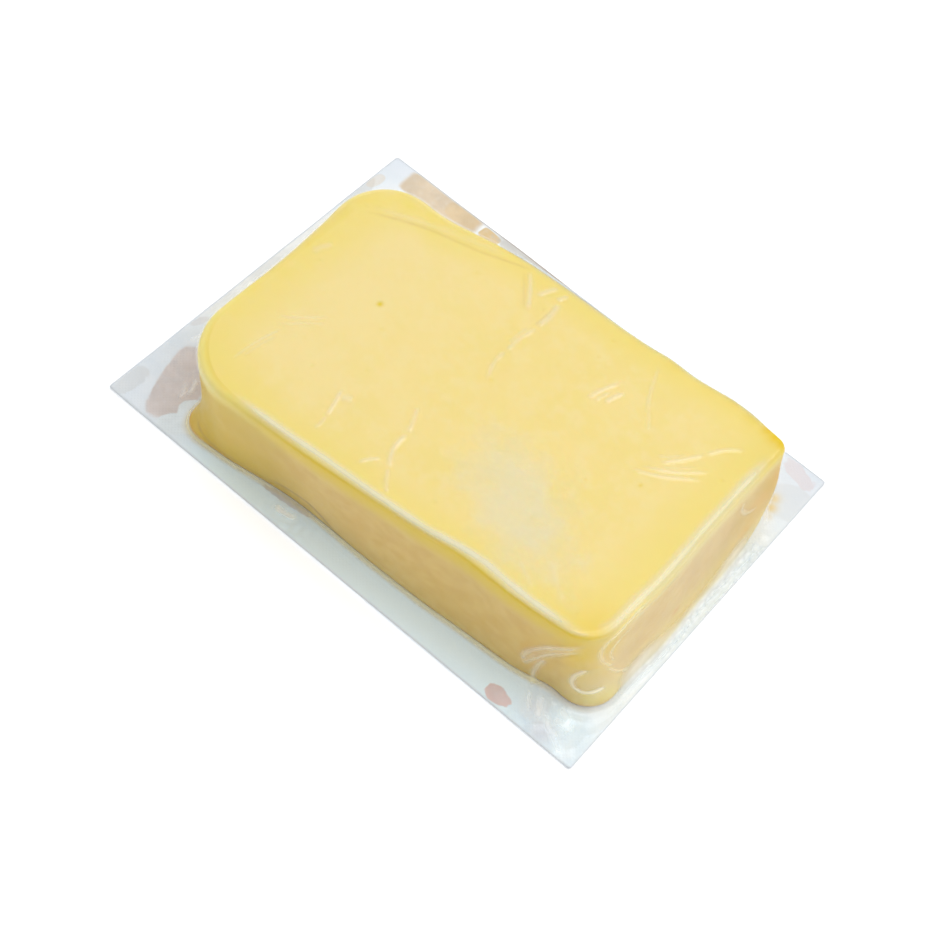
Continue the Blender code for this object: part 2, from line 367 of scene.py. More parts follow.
def distance_to_path(points, path, within):
    """Each near point's distance to a path and its share along it, and which points are near."""
    low, high = path.min(axis=0) - within, path.max(axis=0) + within
    near = np.flatnonzero(((points > low) & (points < high)).all(axis=1))
    spots = points[near]
    best = np.full(len(near), np.inf)
    share = np.zeros(len(near))
    for index, (a, b) in enumerate(zip(path, path[1:])):
        along = b - a
        t = np.clip((spots - a) @ along / (along @ along), 0, 1)
        distance = np.linalg.norm(spots - a - t[:, None] * along, axis=1)
        closer = distance < best
        best = np.where(closer, distance, best)
        share = np.where(closer, (index + t) / (len(path) - 1), share)
    return near, best, share


# How far a wrinkle's path may lie from its sheet, how many widths out a wrinkle is worked out,
# how much wider its milkiness is, and how sharp the edges of crumpled film are
LAYING_REACH = 4
FOLD_MARGIN = 4
MILK_SPREAD = 1.2
CRUMPLE_SHARPNESS = 2.2


class Skin:
    """A sheet of film that takes up wrinkles as height and as milkiness."""

    def __init__(self, points, outward):
        self.points = points
        self.outward = outward
        self.height = np.zeros(len(points))
        self.milk = np.zeros(len(points))
        self.shine = np.zeros(len(points))

    def fold(self, path, width, height, milk, shine=1, fade=0.22):
        """A rounded ridge along a path, or a groove if its height is below 0."""
        path = self.laid_on(path)
        near, distance, share = distance_to_path(self.points, path, FOLD_MARGIN * width)
        ends = rise(share, 0, fade) * rise(share, 1, 1 - fade)
        self.height[near] += height * np.exp(-(distance / width) ** 2) * ends
        added = milk * np.exp(-(distance / (MILK_SPREAD * width)) ** 2) * ends
        total = self.milk[near] + added
        blend = np.where(total > 0, added / np.maximum(total, 1e-6), 0)
        self.shine[near] += (shine - self.shine[near]) * blend
        self.milk[near] = np.maximum(self.milk[near], added)

    def laid_on(self, path):
        """The path moved straight in or out until it lies on the sheet."""
        laid = []
        for place in path:
            near = np.flatnonzero(np.abs(self.points - place).max(axis=1) < LAYING_REACH)
            if len(near) == 0:
                laid.append(place)
                continue
            best = near[np.linalg.norm(self.points[near] - place, axis=1).argmin()]
            along = self.outward[best]
            laid.append(place + along * ((self.points[best] - place) @ along))
        return np.array(laid)


# Folds in the film over the top: start, middle, end, width, height and milkiness. The
# milkiness is painted highlight along the folds.
TOP_FOLDS = (
    ((-58, 14.4), (-36, 23.8), (-12, 30.7), 0.45, -0.35, 0),
    ((-56.6, 17), (-35.4, 25.6), (-14, 31.8), 0.8, 0.1, 0.1),
    ((-10.5, 30.7), (-5.6, 25.2), (-1, 19.8), 0.4, -0.32, 0),
    ((-9.2, 31.8), (-4.3, 26.2), (0.2, 20.1), 0.5, 0.22, 0.21),
    ((-1.8, 25.6), (-0.6, 29.2), (1.2, 32.4), 0.7, 0.25, 0.2),
    ((3.2, 28.4), (3.9, 30.2), (4.7, 32.2), 0.65, 0.25, 0.2),
    ((4.3, 28.7), (5.4, 23.4), (5.1, 17.6), 0.75, 0.32, 0.21),
    ((5.6, 18.4), (4.3, 11.8), (4.6, 5.8), 0.6, 0.29, 0.18),
    ((3.6, 16.6), (3.2, 12), (3.4, 8.6), 0.45, 0.2, 0.12),
    ((4.2, 6.8), (4.6, 1.4), (6.8, -4), 0.55, 0.28, 0.15),
    ((-56.8, -5.5), (-55.8, -2.2), (-54, 0.8), 0.9, 0.17, 0.12),
    ((-47, -46), (-46.2, -37.5), (-44, -28.6), 0.36, 0.2, 0.12),
    ((-45.4, -43), (-44.9, -37.5), (-43.4, -31.5), 0.34, 0.16, 0.08),
    ((-48.5, -27.8), (-43.4, -23.6), (-37.2, -17.8), 0.45, 0.16, 0.1),
    ((-46.6, -29.8), (-42, -25), (-36, -19.6), 0.36, 0.13, 0.08),
    ((-18.9, -32.1), (-17.4, -36.6), (-16, -41.8), 0.5, 0.32, 0.2),
    ((-16.2, -41), (-15.8, -43.6), (-15.8, -46.2), 0.45, 0.25, 0.13),
    ((-17.6, -34.6), (-16, -33.6), (-14.4, -33), 0.9, 0.25, 0.18),
    ((-0.9, -22.5), (1.4, -26.6), (3, -31), 0.55, 0.29, 0.17),
    ((2.9, -30), (3.4, -36.4), (6.9, -42.2), 0.6, 0.36, 0.21),
    ((6.2, -41.4), (8.6, -44.6), (11.6, -47.9), 0.5, 0.29, 0.17),
    ((-0.6, -46), (0.9, -43.2), (3.4, -40.6), 0.5, 0.28, 0.18),
    ((30, 9.6), (30.8, 13.6), (33.6, 21.2), 0.6, 0.29, 0.18),
    ((31.8, 10.2), (32.4, 13.2), (33.4, 16), 0.45, 0.22, 0.13),
    ((34, 11.6), (34.8, 14.8), (36.2, 18.4), 0.6, 0.28, 0.18),
    ((37.2, 31.4), (40.4, 23.8), (44.6, 16.8), 0.45, 0.23, 0.12),
    ((43, 19.2), (45.8, 16.2), (48.2, 12.8), 0.42, 0.22, 0.1),
    ((56.2, 7.4), (60, 12.2), (64, 18.2), 0.5, 0.28, 0.15),
    ((63.4, 17.4), (66.4, 22.4), (70.6, 26.2), 0.5, 0.25, 0.13),
    ((51.5, 0.9), (58.8, 4.4), (68.4, 11.6), 0.48, 0.25, 0.15),
    ((53, 3.2), (60.8, 7.9), (68.4, 15), 0.45, 0.24, 0.13),
    ((54.2, 8.6), (57.2, 10.6), (60.6, 14.6), 0.4, 0.2, 0.1),
    ((57, 5.6), (61, 9.6), (64.6, 13.4), 0.36, 0.17, 0.08),
    ((54.6, -32.8), (59.2, -36.9), (64.4, -40.4), 0.7, 0.16, 0.08),
    ((48.6, -38.6), (52, -40.4), (56.4, -42.6), 0.6, 0.11, 0.07),
)

# Folds on the sides, where the film is loose: points in space, width, height, milkiness and
# how white it is. The milk is partly the folded film's whiteness and partly painted highlight.
SIDE_FOLDS = (
    (((59.5, -47.6, 9), (60.5, -47.1, 15.6), (66, -46.6, 24.8), (75.7, -43.5, 35.7)),
      0.75, 0.12, 0.42, 0.7),
    (((59.5, -47.6, 8), (61.6, -47.1, 12), (67.6, -46.4, 23.5), (75.3, -43.9, 33.4)),
      0.65, 0.1, 0.36, 0.7),
    (((59.6, -47.4, 9.5), (64.2, -46.9, 19), (75, -43.8, 34)), 1.3, 0.2, 0.24, 0.6),
    (((62.5, -47.4, 8), (68.6, -46.3, 21), (75.3, -43.9, 31.4)), 0.6, -0.25, 0, 1),
    (((64, -48.5, 1.5), (63.1, -47.5, 4.9), (64.1, -46.9, 11.4), (65.9, -46.5, 18)),
      0.7, 0.12, 0.42, 0.7),
    (((75.7, -44.8, 10.6), (74.1, -45.3, 13.3), (74.5, -44.8, 17.9), (77, -43, 22.4)),
      0.7, 0.14, 0.45, 0.8),
    (((73.6, -45.6, 12), (77.2, -44.1, 9.9), (79.4, -41.5, 10.2), (80.6, -39, 11.6)),
      0.65, 0.14, 0.6, 0.9),
    (((80.6, -35.4, 18), (79.1, -39.8, 25), (78.1, -40.7, 30.9), (78.8, -38.4, 36),
      (79.4, -30.4, 37.6), (79.4, -22, 38)), 0.7, 0.18, 0.26, 0.6),
    (((80.2, -36.3, 21.4), (79.6, -38, 27.1), (79.6, -36.4, 31.6), (79.7, -29.3, 32.4)),
      0.5, 0.15, 0.22, 0.6),
    (((79.8, -33, 34.6), (79.6, -24, 35), (79.4, -12, 35.6)), 0.5, 0.2, 0.18, 0.8),
    (((79.2, -39, 22), (80.6, -35, 15), (81.6, -30, 9)), 0.5, 0.2, 0.22, 0.8),
    (((78.8, 17, 33.2), (78.4, 16.4, 30), (78.8, 19.6, 24.2), (78.9, 25.4, 20.4)),
      0.6, 0.16, 0.24, 0.6),
    (((-57.4, -52.2, 11), (-56.1, -53.7, 6.1), (-54.6, -54.9, 2)), 0.5, -0.45, 0, 1),
)

# Folds in the loose film on the flange: points, width, height and milkiness. The milk paints
# the white glints that the folds catch: painted highlights.
FLANGE_FOLDS = (
    (((67.4, -48), (69.2, -50.6), (71.4, -54.4)), 0.9, 0.02, 0.5),
    (((73.4, -46.6), (75.6, -48), (78.4, -49.2)), 1, 0.02, 0.42),
    (((74, -51.4), (77, -50.2), (80.6, -50.4)), 1.1, 0.02, 0.4),
    (((64.2, -48.8), (65.4, -50.8), (68.6, -54.2)), 0.6, 0.02, 0.36),
    (((69.6, -50), (76, -54.2), (84, -58)), 0.9, 0.02, 0.3),
    (((73, -52), (74.8, -53.8), (79.4, -54.4)), 0.8, 0.02, 0.42),
    (((-24.6, -54.9), (-20.6, -54.9), (-16.4, -53.8)), 0.8, 0.02, 0.65),
    (((-70.4, -40.2), (-68.6, -43.4), (-67.8, -46.6)), 0.6, 0.2, 0.55),
    (((-71.6, -43.4), (-69.6, -46), (-68.6, -49)), 0.5, 0.18, 0.45),
    (((70.6, 50), (75.2, 41), (78.6, 31)), 0.45, 0.2, 0.42),
    (((-84.6, -26), (-83, -4), (-82.6, 18), (-83.6, 40)), 0.8, 0.05, 0.3),
    (((-79.6, -18), (-77.4, 0), (-77, 22)), 0.6, 0.14, 0.4),
    (((-82, -34), (-79.2, -28), (-77, -20)), 0.6, 0.16, 0.45),
)


# Materials


def add_node(tree, kind, inputs=None, output=0, **settings):
    """A new node's output: an input given as a socket is linked, and any other is set."""
    node = tree.nodes.new(kind)
    for key, value in settings.items():
        setattr(node, key, value)
    for key, value in (inputs or {}).items():
        if isinstance(value, bpy.types.NodeSocket):
            tree.links.new(value, node.inputs[key])
        else:
            node.inputs[key].default_value = value
    return node.outputs[output] if node.outputs else None


class Look:
    """A material's node tree, with short names for the nodes that it uses."""

    def __init__(self, name):
        self.material = bpy.data.materials.new(name)
        self.material.use_nodes = True
        self.tree = self.material.node_tree
        self.tree.nodes.clear()
        self.place = self.node("ShaderNodeTexCoord", output="Object")

    def node(self, kind, inputs=None, output=0, **settings):
        return add_node(self.tree, kind, inputs, output, **settings)

    def noise(self, size, detail=3, roughness=0.6, distortion=0):
        """Noise from 0 to 1 with features of a size in millimetres."""
        return self.node("ShaderNodeTexNoise", {
            "Vector": self.place, "Scale": 1 / (size * MM), "Detail": detail,
            "Roughness": roughness, "Distortion": distortion}, "Fac")

    def attribute(self, label):
        return self.node("ShaderNodeAttribute", output="Fac", attribute_name=label)

    def math(self, operation, *values, clamp=False):
        inputs = dict(enumerate(values))
        return self.node("ShaderNodeMath", inputs, operation=operation, use_clamp=clamp)

    def ramp(self, value, low, high, start=0, end=1):
        """Value taken smoothly from the range low..high to start..end."""
        return self.node("ShaderNodeMapRange", {
            "Value": value, "From Min": low, "From Max": high, "To Min": start, "To Max": end},
            "Result", interpolation_type="SMOOTHSTEP")

    def mix(self, share, first, second):
        """Two colours mixed; a colour is a socket or three numbers."""
        first, second = (colour if isinstance(colour, bpy.types.NodeSocket) else (*colour, 1)
                         for colour in (first, second))
        return self.node("ShaderNodeMix", {0: share, 6: first, 7: second}, 2, data_type="RGBA")

    def tint(self, colour, tints):
        """The colour, mixed in turn with each tint as far as its point attribute says."""
        for label, tone in tints.items():
            colour = self.mix(self.attribute(label), colour, tone)
        return colour

    def bump(self, height, distance, strength, below=None):
        """The normal of a rough surface, on top of another one's if that is given."""
        inputs = {"Height": height, "Distance": distance * MM, "Strength": strength}
        return self.node("ShaderNodeBump", inputs | ({"Normal": below} if below else {}))

    def finish(self, surface):
        self.node("ShaderNodeOutputMaterial", {"Surface": surface})
        return self.material


# The paste's tints, each laid on as far as the point attribute of its name says
PASTE_TINTS = {
    # tan: the front's tan, and also painted shade on the cut end towards its back corner
    "tan": (0.56, 0.36, 0),
    "ripe": (0.83, 0.56, 0.004),
    # amber: orange paste, and also a painted shadow along the foot of the front side
    "amber": (0.78, 0.43, 0.09),
    # Painted shade in the pinholes
    "pinhole_shade": (0.76, 0.57, 0),
    # glow: a painted highlight on the moulded corner's rounding, and the toes' lighter yellow
    "glow": (1, 0.845, 0.28),
    # Painted shade in the pressed lines, along the foot and at the back edge
    "crease_shade": (0.46, 0.28, 0.1),
}


def cheese_material():
    """Close, waxy, faintly mottled paste, deeper yellow along its edges.

    Its pinholes and pressed lines are darkened with painted shade.
    """
    look = Look("gouda")
    patches = look.noise(19, roughness=0.55)
    clouds = look.noise(5.5)
    grain = look.noise(1.1, detail=2)
    colour = look.mix(look.ramp(patches, 0.36, 0.66), (0.905, 0.705, 0.24), (0.925, 0.715, 0.272))
    colour = look.mix(look.ramp(clouds, 0.42, 0.66, 0, 0.8), colour, (0.92, 0.725, 0.298))
    colour = look.mix(look.attribute("pale"), colour, (0.93, 0.73, 0.33))
    colour = look.mix(look.ramp(grain, 0.5, 0.75, 0, 0.2), colour, (0.87, 0.66, 0.19))
    edge = look.math("MULTIPLY", look.attribute("edge"), look.ramp(clouds, 0.25, 0.75, 0.55, 1))
    colour = look.mix(edge, colour, (0.885, 0.695, 0.14))
    cut = look.math("MULTIPLY", look.attribute("cut"), look.ramp(clouds, 0.3, 0.7, 0.68, 0.94))
    colour = look.tint(look.mix(cut, colour, (0.73, 0.455, 0.098)), PASTE_TINTS)
    return look.finish(look.node("ShaderNodeBsdfPrincipled", {
        "Base Color": colour, "Roughness": look.ramp(grain, 0.3, 0.7, 0.42, 0.55),
        "Normal": look.bump(clouds, 0.1, 0.5, look.bump(grain, 0.035, 0.6)),
        "Subsurface Weight": 0.22, "Subsurface Radius": (1, 0.55, 0.2),
        "Subsurface Scale": 0.0035, "Specular IOR Level": 0.12}))


FILM_ROUGHNESS = 0.16
GLANCE_POWER = 5
FILM_GLOSS_HEAD_ON = 0.035
FILM_GLOSS_GLANCING = 0.22
FOLD_GLOSS = 0.12


def film_material():
    """Thin clear plastic: a glossy skin that turns milky where it is creased or stands off.

    Its milk also paints highlights along folds and edges. Where the point attribute "unshaded"
    says so, the milkiness casts no shadow on the paste.
    """
    look = Look("clear_film")
    ripples = look.noise(7, detail=2, roughness=0.5, distortion=0.6)
    normal = look.bump(ripples, 0.16, 0.6, look.bump(look.noise(2.6), 0.05, 0.5))
    shine = look.attribute("shine")
    whiteness = look.mix(shine, (0.8, 0.92, 1), (1, 0.99, 0.95))
    whiteness = look.tint(whiteness, {"cream": (1, 0.88, 0.48)})
    white = look.node("ShaderNodeBsdfDiffuse", {"Color": whiteness, "Normal": normal})
    worn = look.math("MULTIPLY", look.attribute("milk"), look.ramp(ripples, 0.2, 0.8, 0.85, 1.1),
                     clamp=True)
    lamplight = look.node("ShaderNodeLightPath", output="Is Shadow Ray")
    passing = look.math("MULTIPLY", lamplight, look.attribute("unshaded"))
    worn = look.math("MULTIPLY", worn, look.math("SUBTRACT", 1, passing))
    clear = look.node("ShaderNodeBsdfTransparent")
    body = look.node("ShaderNodeMixShader", {0: worn, 1: clear, 2: white})
    gloss = look.node("ShaderNodeBsdfAnisotropic", {
        "Color": (1, 1, 1, 1), "Roughness": FILM_ROUGHNESS, "Normal": normal})
    facing = look.node("ShaderNodeLayerWeight", {"Blend": 0.5, "Normal": normal}, "Facing")
    glancing = look.math("POWER", facing, GLANCE_POWER)
    share = look.math("MULTIPLY_ADD", glancing, FILM_GLOSS_GLANCING, FILM_GLOSS_HEAD_ON)
    share = look.math("MULTIPLY_ADD", look.math("MULTIPLY", worn, shine), FOLD_GLOSS, share)
    return look.finish(look.node("ShaderNodeMixShader", {0: share, 1: body, 2: gloss}))


# Fields on the base film: middle, half length and width, turn in degrees, how square the
# ends are, how ragged the edge is, strength and ink. An ink's worn parts are darker. Most are
# print; the white field is painted light and the umber field partly painted shade.
FADED_INK = 0.88
PRINTED_FIELDS = (
    ((-72.2, -44.6), (13.2, 6.8), 107, 3.6, 0.16, 0.95, "rose"),
    ((-62.6, -54.2), (7, 3.6), 47, 3, 0.14, 1, "bare"),
    ((-63.8, -49), (3.8, 3.4), 43, 2.4, 0.3, 1, "bare"),
    # Painted light, not print: a lighter patch where the slab shades the left flange
    ((-82.8, 4), (6, 26), 0, 2.6, 0.1, 1, "white"),
    ((-84.6, 41), (3, 7), 0, 2.4, 0.3, 0.45, "grey"),
    ((-84.6, -55.6), (8, 4), 72, 2, 0.45, 0.34, "grey"),
    ((-62.6, 55.6), (14.8, 4.4), 2, 8, 0.05, 1, "peach"),
    ((-55, 56.2), (6, 3), 0, 3, 0.15, 0.4, "amber"),
    ((-43.4, 56), (3.7, 2.1), -6, 5, 0.06, 0.9, "amber"),
    ((-83.4, 48), (3.4, 1.9), 80, 2.4, 0.12, 0.4, "peach"),
    ((59.2, -56), (4, 2.3), -5, 2.4, 0.6, 0.9, "pink"),
    ((76.6, 53), (6, 2.6), -16, 2.4, 0.7, 0.34, "pink"),
    ((-18, 57.6), (24, 2.6), -0.5, 4, 0.25, 0.8, "grey"),
    ((79.5, 44), (7, 6), 0, 2, 0.3, 0.2, "grey"),
    # Umber: a brown band hugging the slab's front foot, painted shade of its recess with a brown
    # stain
    ((-22, -51.4), (9.5, 1), 6, 2, 0.85, 0.5, "umber"),
    ((-84.2, -26), (3, 1.2), 70, 2, 0.15, 0.3, "rose"),
)
INKS = {
    "rose": (0.73, 0.63, 0.59),
    "bare": (0.86, 0.91, 0.94),
    # Painted light on the left flange
    "white": (1, 1, 0.98),
    "grey": (0.64, 0.61, 0.57),
    "pink": (0.8, 0.59, 0.57),
    "peach": (0.815, 0.655, 0.47),
    "amber": (0.8, 0.56, 0.24),
    # Painted shade with a brown stain, along the front foot
    "umber": (0.48, 0.35, 0.31),
}


def printed_share(look, centre, half_sizes, turn, square, ragged):
    """1 inside a rounded, more or less square field with a soft edge, and 0 outside it."""
    ripple = look.noise(5, detail=4, roughness=0.65)
    moved = look.node("ShaderNodeMapping", {
        "Vector": look.place,
        "Location": (centre[0] * MM, centre[1] * MM, 0),
        "Rotation": (0, 0, math.radians(turn)),
        "Scale": (half_sizes[0] * MM, half_sizes[1] * MM, 1),
    }, vector_type="TEXTURE")
    powers = [look.math("POWER", look.math("ABSOLUTE", axis), square)
              for axis in look.node("ShaderNodeSeparateXYZ", {0: moved}, slice(2))]
    reach = look.math("POWER", look.math("ADD", *powers), 1 / square)
    reach = look.math("MULTIPLY_ADD", look.math("SUBTRACT", ripple, 0.5), ragged * 2, reach)
    return look.ramp(reach, 1.05, 0.92)


def web_material():
    """Milky blue-white base film with worn fields of pinkish print, and painted shade and light.
    """
    look = Look("printed_film")
    clouds = look.noise(9)
    fine = look.noise(1.4, detail=2)
    colour = look.mix(look.ramp(clouds, 0.35, 0.68), (0.86, 0.9, 0.915), (0.93, 0.945, 0.95))
    # The first tint is a painted cool tone along the front flange, for the slab's shade there
    # The second tint is painted shade: a darker, greyer base film
    colour = look.tint(colour, {"front": (0.8, 0.93, 1), "flange_shade": (0.7, 0.73, 0.8)})
    for *field, strength, ink in PRINTED_FIELDS:
        share = printed_share(look, *field)
        faded = [part * FADED_INK for part in INKS[ink]]
        tone = look.mix(look.ramp(clouds, 0.35, 0.65), INKS[ink], faded)
        worn = look.math("MULTIPLY", share, look.ramp(fine, 0.2, 0.6, strength * 0.85, strength))
        colour = look.mix(worn, colour, tone)
    # Painted shadow: a brownish line along the slab's foot
    colour = look.tint(colour, {"contact_shadow": (0.74, 0.62, 0.36), "stain": (0.84, 0.6, 0.17),
                                # Painted shadow: a brown line along the middle of the back edge
                                "rim": (0.8, 0.81, 0.82), "back_rim_shadow": (0.5, 0.38, 0.28)})
    normal = look.bump(fine, 0.02, 0.4, look.bump(clouds, 0.25, 0.5))
    return look.finish(look.node("ShaderNodeBsdfPrincipled", {
        "Base Color": colour, "Roughness": look.ramp(clouds, 0.3, 0.7, 0.3, 0.42),
        "Normal": look.bump(seal_hatch(look), 0.05, 0.5, normal), "Specular IOR Level": 0.45}))


# Wave scale of the hatch: about 0.9 mm from ridge to ridge
HATCH_SCALE = 350


def seal_hatch(look):
    """The fine crossed pattern that the sealing jaws press into the film."""
    waves = []
    for turn in (45, -45):
        turned = look.node("ShaderNodeMapping", {
            "Vector": look.place, "Rotation": (0, 0, math.radians(turn))})
        waves.append(look.node("ShaderNodeTexWave", {
            "Vector": turned, "Scale": HATCH_SCALE, "Distortion": 0}, "Fac"))
    return look.math("MULTIPLY", *waves)


def floor_material():
    look = Look("floor")
    speckle = look.noise(60, detail=2, roughness=0.5)
    return look.finish(look.node("ShaderNodeBsdfPrincipled", {
        "Base Color": look.mix(speckle, (0.8, 0.8, 0.8), (0.82, 0.82, 0.82)),
        "Roughness": 0.9, "Emission Color": (1, 1, 1, 1), "Emission Strength": 0.36}))


# The pieces

# Pinholes in the paste: place on the top, radius, depth and the painted shade that darkens them
PINHOLES = ((-31.1, -5.1, 0.8, 0.35, 1), (57.1, -0.8, 0.45, 0.3, 0.6))
SMALL_PINHOLES = 14
SMALL_PINHOLE = (0.45, 0.2, 0.25)
PINHOLE_AREA = ((-58, -44), (72, 30))

# Lines that a fold of the film has pressed into the paste, darkened with painted shade:
# points, width, depth and shade
DENTS = (
    (((-58, 14.4), (-47.9, 19.2), (-38, 23.2), (-25.5, 26.4), (-12, 31), (-8, 32.4)),
      0.34, 0.2, 0.3),
    (((-10.4, 30.6), (-5.6, 25.2), (-1, 19.8)), 0.34, 0.16, 0.18),
    (((4.5, 28), (4.3, 23.4), (4.2, 17.6)), 0.3, 0.12, 0.15),
)

# The same low on the sides, through points in space; their shade is painted shade near the foot
SIDE_DENTS = (
    (((-58.6, -50.6, 6.5), (-56.3, -52.8, 5.2), (-53.4, -54.1, 4.1), (-50, -54.1, 3.6),
      (-45.3, -54, 3.5), (-38.8, -53.3, 4), (-31.4, -52.1, 3.6)), 0.5, 0.12, 0.45),
    (((-31, -52.2, 3.6), (-27, -52.1, 5.6), (-22.6, -51.7, 7.1), (-17.1, -51.4, 7.8),
      (-13.5, -51.2, 7.5), (-9.5, -50.7, 4.8), (-6.8, -50.5, 2.8), (-0.8, -50.8, 1.9)),
      0.8, 0.12, 0.78),
    (((64.8, -46.9, 3), (67.4, -46.3, 3.8), (70.5, -46, 5.2), (73.6, -45.8, 6.3),
      (76, -44.6, 5.9), (77.8, -43.8, 5.4)), 0.6, 0.12, 0.6),
)

# The painted shadow line where the film folds over the back edge: its shares of the back side,
# how far in it lies, and its width, depth and shade
BACK_LINE_RUN = (0.4, 0.74)
BACK_LINE_INSET = 0.6
BACK_LINE = (0.9, 0, 0.5)

# Where the paste is more orange: place, reach and strength
AMBER_PLACES = (
    (80.6, -9.7, 11.9, 1.5, 1), (79.5, 27, 22, 5, 0.5), (78.6, 33.6, 28, 5, 0.55),
    (80, 21, 12, 3.5, 0.35), (79.6, 12, 26, 3, 0.2), (-60, -53, 4, 3, 0.25),
)

# Where the paste is a deeper yellow: along the back right edge and down the front right corner
RIPE_PLACES = (
    (75.8, 34.9, 38.6, 2.4, 1), (73.6, 35.2, 38.6, 2.6, 1), (71, 35.8, 38.6, 2.4, 1),
    (66, 38, 38, 3.6, 0.8), (59, 38.6, 38, 3.6, 0.6), (51, 38.5, 38, 3.6, 0.5),
    (40, 37, 38, 3.6, 0.45), (28, 37, 38, 3.6, 0.4), (76, -42.5, 31, 9, 0.9),
    (78, -42.5, 20, 7, 0.6), (81.2, -40.4, 5, 3.6, 0.85), (79.4, -42.4, 7, 3, 0.6),
)

# The strip of deeper yellow under the front's top edge, and the tan in it
RIPE_STRIP = 0.66
STRIP_TAN = 0.25
STRIP_START = 0.3
STRIP_RUN = (-40, -12)

# The painted shadow along the foot, an amber line where it meets the base film, and the tints
# towards the moulded end
FOOT_SHADOW = 0.9
FOOT_SHADOW_LIMIT = -36
MOULDED_END_RIPENESS = 0.52
MOULDED_RUN = (-8, -54)
FRONT_TAN = 0.52
FRONT_TAN_RUN = (-8, -30)
PALE_END = 0.55
PALE_RUN = (2, -36)
PALE_FRONT_RUN = (-46, -34)
TOP_DEPTH = 1.6

# The deeper yellow of the edges: how strong, how far down, and along the foot of the cut end
TOP_EDGE_START = 0.74
TOP_EDGE_YELLOW = 0.7
WALL_EDGE_DEPTH = 12
WALL_EDGE_YELLOW = 0.85
FOOT_EDGE_YELLOW = 0.6
END_FOOT_YELLOW = 0.55
END_FOOT_RUN = (22, 31)

# How far below the edge the cut paste's tone is full, and the corner where it is weaker
CUT_DEPTH = 8.5
CUT_CORNER = (79, -42, 5)

# Painted shade on the cut end, darker towards its back corner: place, reach and strength
CUT_END_SHADE_PLACES = ((78.6, 30, 26, 9, 0.6), (79.2, 20, 22, 9, 0.45), (79.4, 12, 16, 8, 0.25))

# Painted highlight on the rounded edge of the moulded corner, where it turns from the lamps:
# middle, reach and strength
PAINTED_LIGHT_CORNER = (-52, -47, 17)
PAINTED_LIGHT_CORNER_SHARE = 0.85

# The bright toe of the front right corner: place, reach and strength
BRIGHT_TOES = ((80.6, -41, 6, 3.6, 0.5), (81.8, -37.4, 5, 3.4, 0.45))


def slab_colours(grid, points, loop_count):
    """The strength of each tint of the paste at each point.

    Edges are deeper yellow and cut faces darker. The front is tan and ripe towards the moulded
    end, with a ripe strip under its top edge. The top is paler there. The cut end has painted
    shade towards its back corner, and the moulded corner's rounding has a painted highlight.
    """
    rim = grid.rim()
    first = len(grid.reach)
    walls = slice(first, first + len(rim) * loop_count)
    rim_points, rim_normals, radius, _ = slab_rim(grid.side[rim], grid.share[rim])
    x, y, z = points.T
    along = x[walls]
    below = SLAB_TOP - z[walls]
    drop = np.tile(radius, loop_count)
    end = np.tile(np.clip(rim_normals[:, 0], 0, 1), loop_count)
    front = np.tile(np.clip(-rim_normals[:, 1], 0, 1), loop_count)
    edge, cut, ripe, tan, glow = np.zeros((5, len(points)))

    foot_edge = FOOT_EDGE_YELLOW * rise(below, SLAB_HEIGHT - 4, SLAB_HEIGHT - 1)
    foot_edge = np.maximum(foot_edge, rise(below, *END_FOOT_RUN) * end * END_FOOT_YELLOW)
    edge[:first] = rise(grid.reach, TOP_EDGE_START, 1) * TOP_EDGE_YELLOW
    wall_edge = rise(below, drop + WALL_EDGE_DEPTH, drop) * WALL_EDGE_YELLOW
    edge[walls] = np.maximum(wall_edge, foot_edge)
    cut[walls] = rise(below, drop * 0.7, drop + CUT_DEPTH) * (1 - foot_edge)
    cut[walls] *= 1 - 0.5 * swelling(np.tile(rim_points, (loop_count, 1)), *CUT_CORNER)

    strip = rise(below, drop + 7, drop + 1) * rise(below, drop * 0.3, drop * 0.75)
    strip *= front * (STRIP_START + (1 - STRIP_START) * rise(along, *STRIP_RUN))
    moulded = rise(along, *MOULDED_RUN) * front
    ripe[walls] = np.maximum(RIPE_STRIP * strip, MOULDED_END_RIPENESS * moulded)
    ripe = np.maximum(ripe, strongest_spot(points, RIPE_PLACES))
    front_tan = FRONT_TAN * rise(along, *FRONT_TAN_RUN) * front
    tan[walls] = np.maximum(front_tan, STRIP_TAN * strip)
    # The cut end's tan towards its back corner is painted shade
    tan = np.maximum(tan, strongest_spot(points, CUT_END_SHADE_PLACES))
    pale = rise(x, *PALE_RUN) * rise(y, *PALE_FRONT_RUN)
    pale *= (z > SLAB_TOP - TOP_DEPTH) * PALE_END
    # Painted highlight: lighter paste on the moulded corner's rounding, where it turns from the
    # lamps
    glow[walls] = rise(below, drop + 4, drop * 0.9) * rise(below, 0, drop * 0.35)
    glow *= swelling(points, *PAINTED_LIGHT_CORNER) * PAINTED_LIGHT_CORNER_SHARE
    glow = np.maximum(glow, strongest_spot(points, BRIGHT_TOES))
    return {"edge": edge, "cut": cut, "ripe": ripe, "pale": pale, "tan": tan, "glow": glow}


